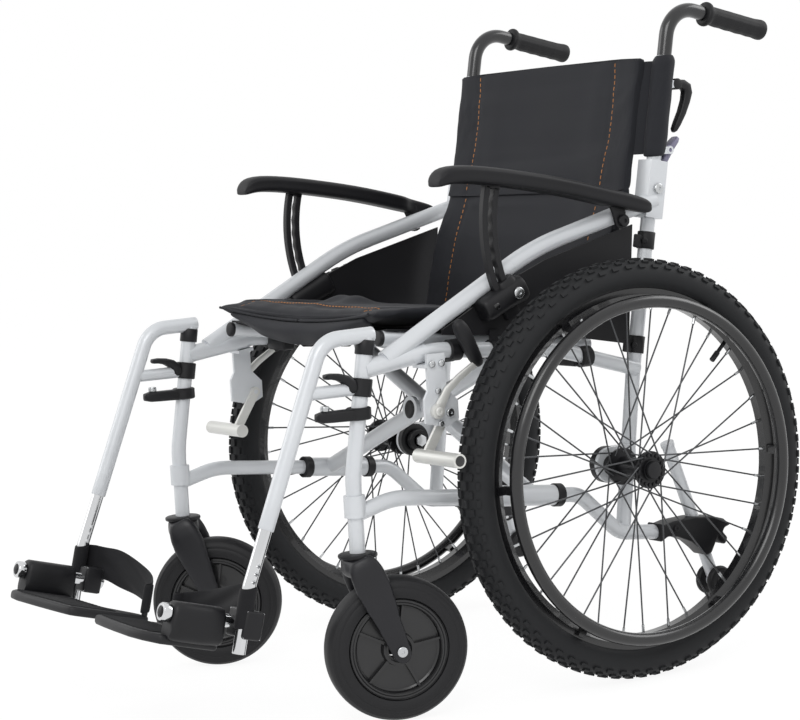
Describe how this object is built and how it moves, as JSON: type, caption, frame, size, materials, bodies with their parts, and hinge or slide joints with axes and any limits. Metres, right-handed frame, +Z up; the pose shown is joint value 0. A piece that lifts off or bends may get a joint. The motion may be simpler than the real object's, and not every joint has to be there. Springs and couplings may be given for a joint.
{
  "type": "all terrain wheelchair",
  "caption": "Folding self-propelled wheelchair with knobbly tyres, handrims, swivel castors, swing-away leg rests, flip-up arm pads, fold-down back and anti-tip wheels.",
  "frame": {"origin": "on the floor under the middle of the bounding box", "axes": "+Z up, -Y is the way the chair faces, +X is the chair's left side"},
  "size_m": [0.771, 1.1049, 0.9793],
  "materials": {
    "frame_paint": "satin silver-white powder coat",
    "guard_sheet": "fine-grained black sheet",
    "black_plastic": "moulded black",
    "bright_steel": "zinc plated",
    "lever_paint": "silver lever with black grip",
    "tyre_rubber": "matt with shoulder knobs",
    "black_rim": "gloss black",
    "spoke_steel": "dark steel wire",
    "hub_alloy": "black anodised",
    "handrim_coat": "gloss black coat",
    "fork_coat": "black powder coat",
    "castor_rubber": "black rubber on black plastic",
    "chrome_tube": "bright chrome",
    "plate_plastic": "ribbed black",
    "webbing": "woven black",
    "pad_foam": "skinned foam",
    "grip_rubber": "ridged black grip on gloss black tube",
    "grey_plastic": "grey",
    "charcoal_cloth": "charcoal nylon with orange seams"
  },
  "bodies": {
    "left_frame": {"left_side_frame": "frame_paint", "left_side_guard": "guard_sheet", "left_frame_fittings": "black_plastic", "left_frame_hardware": "bright_steel", "left_brake_bracket": "frame_paint", "back_lower": "charcoal_cloth"},
    "left_wheel": {"left_tyre": "tyre_rubber", "left_rim": "black_rim", "left_spokes": "spoke_steel", "left_hub": "hub_alloy", "left_handrim": "handrim_coat"},
    "left_castor": {"left_castor_fork": "fork_coat"},
    "left_castor_roller": {"left_castor_wheel": "castor_rubber"},
    "left_leg": {"left_hanger": "frame_paint"},
    "left_leg_latch": {"left_hanger_latch": "black_plastic"},
    "left_leg_ext": {"left_leg_extension": "chrome_tube", "left_footplate_pivot": "chrome_tube", "left_heel_loop": "webbing"},
    "left_plate": {"left_footplate": "plate_plastic"},
    "left_arm": {"left_arm_rest": "pad_foam"},
    "left_tip": {"left_antitip_tube": "chrome_tube"},
    "left_tip_wheel": {"left_antitip_wheel": "castor_rubber"},
    "left_back": {"left_back_cane": "frame_paint", "back_upper": "charcoal_cloth"},
    "left_handle": {"left_push_handle": "grip_rubber"},
    "left_clamp": {"left_handle_clamp_lever": "black_plastic"},
    "left_release": {"left_back_release_lever": "grey_plastic"},
    "left_brake": {"left_brake_lever": "lever_paint"},
    "left_shoe": {"left_brake_shoe": "bright_steel"},
    "right_frame": {"right_side_frame": "frame_paint", "right_side_guard": "guard_sheet", "right_frame_fittings": "black_plastic", "right_frame_hardware": "bright_steel", "right_brake_bracket": "frame_paint"},
    "right_wheel": {"right_tyre": "tyre_rubber", "right_rim": "black_rim", "right_spokes": "spoke_steel", "right_hub": "hub_alloy", "right_handrim": "handrim_coat"},
    "right_castor": {"right_castor_fork": "fork_coat"},
    "right_castor_roller": {"right_castor_wheel": "castor_rubber"},
    "right_leg": {"right_hanger": "frame_paint"},
    "right_leg_latch": {"right_hanger_latch": "black_plastic"},
    "right_leg_ext": {"right_leg_extension": "chrome_tube", "right_footplate_pivot": "chrome_tube", "right_heel_loop": "webbing"},
    "right_plate": {"right_footplate": "plate_plastic"},
    "right_arm": {"right_arm_rest": "pad_foam"},
    "right_tip": {"right_antitip_tube": "chrome_tube"},
    "right_tip_wheel": {"right_antitip_wheel": "castor_rubber"},
    "right_back": {"right_back_cane": "frame_paint"},
    "right_handle": {"right_push_handle": "grip_rubber"},
    "right_clamp": {"right_handle_clamp_lever": "black_plastic"},
    "right_release": {"right_back_release_lever": "grey_plastic"},
    "right_brake": {"right_brake_lever": "lever_paint"},
    "right_shoe": {"right_brake_shoe": "bright_steel"},
    "brace_rear": {"brace_rear": "frame_paint"},
    "brace_front": {"brace_front": "frame_paint"},
    "seat": {"seat_sling": "webbing", "seat_cushion": "charcoal_cloth"}
  },
  "joints": [
    {"name": "frame_fold", "type": "hinge", "parent": "left_frame", "child": "brace_rear", "pos_m": [0.262, 0.045, 0.278], "axis": [0, 0.9936, -0.1132], "range_deg": [0, 47], "deforming": ["seat_sling", "seat_cushion", "back_upper", "back_lower"]},
    {"name": "brace_cross", "type": "hinge", "parent": "brace_rear", "child": "brace_front", "pos_m": [0, 0.05726, 0.38562], "axis": [0, 0.9936, -0.1132], "range_deg": [-94, 0]},
    {"name": "right_frame_fold", "type": "hinge", "parent": "brace_front", "child": "right_frame", "pos_m": [-0.262, 0.045, 0.278], "axis": [0, 0.9936, -0.1132], "range_deg": [0, 47]},
    {"name": "seat_fold", "type": "hinge", "parent": "brace_rear", "child": "seat", "pos_m": [-0.218, 0.06979, 0.49559], "axis": [0, 0.9936, -0.1132], "range_deg": [-47, 0]},
    {"name": "left_wheel_spin", "type": "hinge", "parent": "left_frame", "child": "left_wheel", "pos_m": [0.333, 0.195, 0.305], "axis": [1, 0, 0], "continuous": true},
    {"name": "left_castor_swivel", "type": "hinge", "parent": "left_frame", "child": "left_castor", "pos_m": [0.262, -0.238, 0.24], "axis": [0, 0, 1], "continuous": true},
    {"name": "left_castor_roll", "type": "hinge", "parent": "left_castor", "child": "left_castor_roller", "pos_m": [0.27621, -0.19425, 0.1], "axis": [0.9511, -0.309, 0], "continuous": true},
    {"name": "left_leg_swing", "type": "hinge", "parent": "left_frame", "child": "left_leg", "pos_m": [0.262, -0.20838, 0.508], "axis": [0, 0.1736, 0.9848], "range_deg": [0, 90]},
    {"name": "left_leg_latch_tilt", "type": "hinge", "parent": "left_leg", "child": "left_leg_latch", "pos_m": [0.262, -0.244, 0.477], "axis": [-1, 0, 0], "range_deg": [0, 20], "stiffness_Nm_per_rad": 0.3, "springref_deg": -11.46},
    {"name": "left_leg_length", "type": "slide", "parent": "left_leg", "child": "left_leg_ext", "axis": [0, -0.3889, -0.9213], "range_m": [-0.03, 0.05]},
    {"name": "left_plate_flip", "type": "hinge", "parent": "left_leg_ext", "child": "left_plate", "pos_m": [0.238, -0.411, 0.164], "axis": [0, 0.9613, -0.2756], "range_deg": [0, 91], "deforming": ["left_heel_loop"]},
    {"name": "left_arm_lift", "type": "hinge", "parent": "left_frame", "child": "left_arm", "pos_m": [0.279, 0.233, 0.661], "axis": [-1, 0, 0], "range_deg": [-8, 62]},
    {"name": "left_tip_length", "type": "slide", "parent": "left_frame", "child": "left_tip", "axis": [0, 0.3347, -0.9423], "range_m": [-0.03, 0.02]},
    {"name": "left_tip_roll", "type": "hinge", "parent": "left_tip", "child": "left_tip_wheel", "pos_m": [0.262, 0.389, 0.104], "axis": [1, 0, 0], "continuous": true},
    {"name": "left_back_fold", "type": "hinge", "parent": "left_frame", "child": "left_back", "pos_m": [0.254, 0.31232, 0.704], "axis": [-1, 0, 0], "range_deg": [0, 90]},
    {"name": "left_handle_height", "type": "slide", "parent": "left_back", "child": "left_handle", "axis": [0, 0.1908, 0.9816], "range_m": [0, 0.05]},
    {"name": "left_clamp_turn", "type": "hinge", "parent": "left_back", "child": "left_clamp", "pos_m": [0.254, 0.36425, 0.858], "axis": [1, 0, 0], "range_deg": [0, 90]},
    {"name": "left_release_turn", "type": "hinge", "parent": "left_back", "child": "left_release", "pos_m": [0.254, 0.3422, 0.76], "axis": [-1, 0, 0], "range_deg": [0, 30], "stiffness_Nm_per_rad": 0.3, "springref_deg": -11.46},
    {"name": "left_brake_turn", "type": "hinge", "parent": "left_frame", "child": "left_brake", "pos_m": [0.282, -0.111, 0.418], "axis": [1, 0, 0], "range_deg": [0, 55]},
    {"name": "left_shoe_turn", "type": "hinge", "parent": "left_frame", "child": "left_shoe", "pos_m": [0.282, -0.089, 0.414], "axis": [1, 0, 0], "range_deg": [0, 9]},
    {"name": "right_wheel_spin", "type": "hinge", "parent": "right_frame", "child": "right_wheel", "pos_m": [-0.333, 0.195, 0.305], "axis": [1, 0, 0], "continuous": true},
    {"name": "right_castor_swivel", "type": "hinge", "parent": "right_frame", "child": "right_castor", "pos_m": [-0.262, -0.238, 0.24], "axis": [0, 0, 1], "continuous": true},
    {"name": "right_castor_roll", "type": "hinge", "parent": "right_castor", "child": "right_castor_roller", "pos_m": [-0.23561, -0.20032, 0.1], "axis": [0.8192, -0.5736, 0], "continuous": true},
    {"name": "right_leg_swing", "type": "hinge", "parent": "right_frame", "child": "right_leg", "pos_m": [-0.262, -0.20838, 0.508], "axis": [0, -0.1736, -0.9848], "range_deg": [0, 90]},
    {"name": "right_leg_latch_tilt", "type": "hinge", "parent": "right_leg", "child": "right_leg_latch", "pos_m": [-0.262, -0.244, 0.477], "axis": [-1, 0, 0], "range_deg": [0, 20], "stiffness_Nm_per_rad": 0.3, "springref_deg": -11.46},
    {"name": "right_leg_length", "type": "slide", "parent": "right_leg", "child": "right_leg_ext", "axis": [0, -0.3889, -0.9213], "range_m": [-0.03, 0.05]},
    {"name": "right_plate_flip", "type": "hinge", "parent": "right_leg_ext", "child": "right_plate", "pos_m": [-0.238, -0.411, 0.164], "axis": [0, -0.9613, 0.2756], "range_deg": [0, 91], "deforming": ["right_heel_loop"]},
    {"name": "right_arm_lift", "type": "hinge", "parent": "right_frame", "child": "right_arm", "pos_m": [-0.279, 0.233, 0.661], "axis": [-1, 0, 0], "range_deg": [-8, 62]},
    {"name": "right_tip_length", "type": "slide", "parent": "right_frame", "child": "right_tip", "axis": [0, 0.3347, -0.9423], "range_m": [-0.03, 0.02]},
    {"name": "right_tip_roll", "type": "hinge", "parent": "right_tip", "child": "right_tip_wheel", "pos_m": [-0.262, 0.389, 0.104], "axis": [1, 0, 0], "continuous": true},
    {"name": "right_back_fold", "type": "hinge", "parent": "right_frame", "child": "right_back", "pos_m": [-0.254, 0.31232, 0.704], "axis": [-1, 0, 0], "range_deg": [0, 90]},
    {"name": "right_handle_height", "type": "slide", "parent": "right_back", "child": "right_handle", "axis": [0, 0.1908, 0.9816], "range_m": [0, 0.05]},
    {"name": "right_clamp_turn", "type": "hinge", "parent": "right_back", "child": "right_clamp", "pos_m": [-0.254, 0.36425, 0.858], "axis": [1, 0, 0], "range_deg": [0, 90]},
    {"name": "right_release_turn", "type": "hinge", "parent": "right_back", "child": "right_release", "pos_m": [-0.254, 0.3422, 0.76], "axis": [-1, 0, 0], "range_deg": [0, 30], "stiffness_Nm_per_rad": 0.3, "springref_deg": -11.46},
    {"name": "right_brake_turn", "type": "hinge", "parent": "right_frame", "child": "right_brake", "pos_m": [-0.282, -0.111, 0.418], "axis": [1, 0, 0], "range_deg": [0, 55]},
    {"name": "right_shoe_turn", "type": "hinge", "parent": "right_frame", "child": "right_shoe", "pos_m": [-0.282, -0.089, 0.414], "axis": [1, 0, 0], "range_deg": [0, 9]}
  ],
  "couplings": [
    {"joint": "brace_cross", "follows": "frame_fold", "ratio": -2},
    {"joint": "right_frame_fold", "follows": "frame_fold", "ratio": 1},
    {"joint": "seat_fold", "follows": "frame_fold", "ratio": -1},
    {"joint": "left_plate_flip", "follows": "frame_fold", "ratio": 1.93},
    {"joint": "left_shoe_turn", "follows": "left_brake_turn", "ratio": 0.16364},
    {"joint": "right_plate_flip", "follows": "frame_fold", "ratio": 1.93},
    {"joint": "right_back_fold", "follows": "left_back_fold", "ratio": 1},
    {"joint": "right_shoe_turn", "follows": "right_brake_turn", "ratio": 0.16364}
  ]
}
